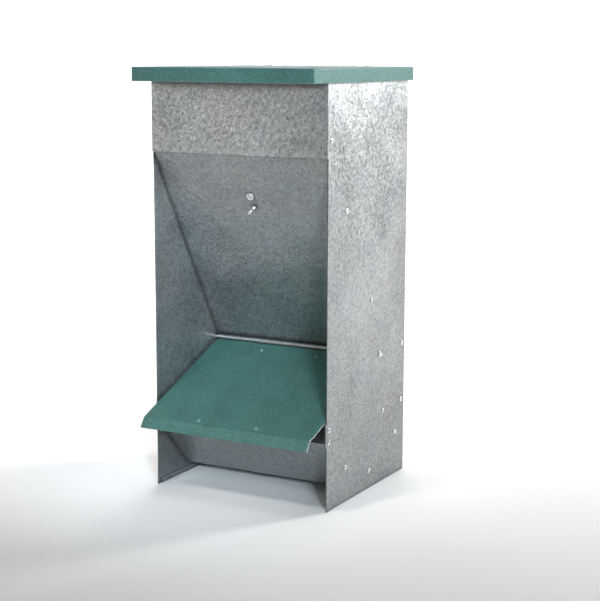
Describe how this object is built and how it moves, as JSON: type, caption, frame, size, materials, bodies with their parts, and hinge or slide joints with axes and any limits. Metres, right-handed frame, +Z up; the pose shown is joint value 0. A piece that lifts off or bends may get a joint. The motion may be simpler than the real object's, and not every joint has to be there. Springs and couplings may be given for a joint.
{
  "type": "hopper feeder",
  "caption": "Free-standing sheet-metal hopper feeder for dry pet food, with a hinged lid, a lift-up feed flap over a trough and a flow gate.",
  "frame": {"origin": "on the floor under the middle of the feeder's overall box", "axes": "+Z up, -Y towards the front where the flap and the trough are, +X to the right as the dog faces the feeder"},
  "size_m": [0.3072, 0.333, 0.6516],
  "materials": {
    "galvanized_sheet": "hot-dip galvanized with a fine spangle",
    "green_paint": "satin green paint",
    "zinc_fastener": "bright zinc plate"
  },
  "bodies": {
    "housing": {"side_panel_left": "galvanized_sheet", "side_panel_right": "galvanized_sheet", "back_panel": "galvanized_sheet", "upper_front_panel": "galvanized_sheet", "slope_panel": "galvanized_sheet", "trough_pan": "galvanized_sheet", "front_rivet_left": "zinc_fastener", "slope_rivet_1_left": "zinc_fastener", "slope_rivet_2_left": "zinc_fastener", "baffle_rivet_left": "zinc_fastener", "trough_wall_rivet_left": "zinc_fastener", "trough_floor_rivet_left": "zinc_fastener", "deflector_rivet_left": "zinc_fastener", "ear_rivet_1_left": "zinc_fastener", "ear_rivet_2_left": "zinc_fastener", "back_rivet_1_left": "zinc_fastener", "back_rivet_2_left": "zinc_fastener", "front_rivet_right": "zinc_fastener", "slope_rivet_1_right": "zinc_fastener", "slope_rivet_2_right": "zinc_fastener", "baffle_rivet_right": "zinc_fastener", "trough_wall_rivet_right": "zinc_fastener", "trough_floor_rivet_right": "zinc_fastener", "deflector_rivet_right": "zinc_fastener", "ear_rivet_1_right": "zinc_fastener", "ear_rivet_2_right": "zinc_fastener", "back_rivet_1_right": "zinc_fastener", "back_rivet_2_right": "zinc_fastener", "back_leaf_left": "galvanized_sheet", "back_leaf_right": "galvanized_sheet", "back_leaf_rivet_left_1": "zinc_fastener", "back_leaf_rivet_left_2": "zinc_fastener", "back_leaf_rivet_right_1": "zinc_fastener", "back_leaf_rivet_right_2": "zinc_fastener", "hinge_pin_left": "zinc_fastener", "hinge_pin_right": "zinc_fastener", "flap_rod": "zinc_fastener", "rod_retainer_left": "zinc_fastener", "rod_retainer_right": "zinc_fastener", "gate_bolt": "zinc_fastener", "gate_washer": "zinc_fastener", "gate_guide_stud": "zinc_fastener"},
    "gate": {"flow_gate": "galvanized_sheet"},
    "wing_nut": {"gate_wing_nut": "zinc_fastener"},
    "flap": {"feed_flap": "green_paint", "flap_stiffener": "galvanized_sheet", "flap_hinge_strip": "galvanized_sheet", "flap_front_rivet_left": "zinc_fastener", "flap_front_rivet_right": "zinc_fastener", "flap_rear_rivet_left": "zinc_fastener", "flap_rear_rivet_right": "zinc_fastener"},
    "lid": {"lid": "green_paint", "lid_leaf_left": "galvanized_sheet", "lid_leaf_right": "galvanized_sheet", "lid_leaf_rivet_left_1": "zinc_fastener", "lid_leaf_rivet_left_2": "zinc_fastener", "lid_leaf_rivet_right_1": "zinc_fastener", "lid_leaf_rivet_right_2": "zinc_fastener"}
  },
  "joints": [
    {"name": "lid_hinge", "type": "hinge", "parent": "housing", "child": "lid", "pos_m": [0, 0.15702, 0.6457], "axis": [-1, 0, 0], "range_deg": [0, 112]},
    {"name": "flap_hinge", "type": "hinge", "parent": "housing", "child": "flap", "pos_m": [0, 0.06102, 0.2075], "axis": [-1, 0, 0], "range_deg": [0, 81.5]},
    {"name": "gate_slide", "type": "slide", "parent": "housing", "child": "gate", "axis": [0, 0.5022, -0.8647], "range_m": [0, 0.05]},
    {"name": "wing_nut_turn", "type": "hinge", "parent": "housing", "child": "wing_nut", "pos_m": [0, -0.06767, 0.4421], "axis": [0, -0.8647, -0.5022], "continuous": true}
  ]
}
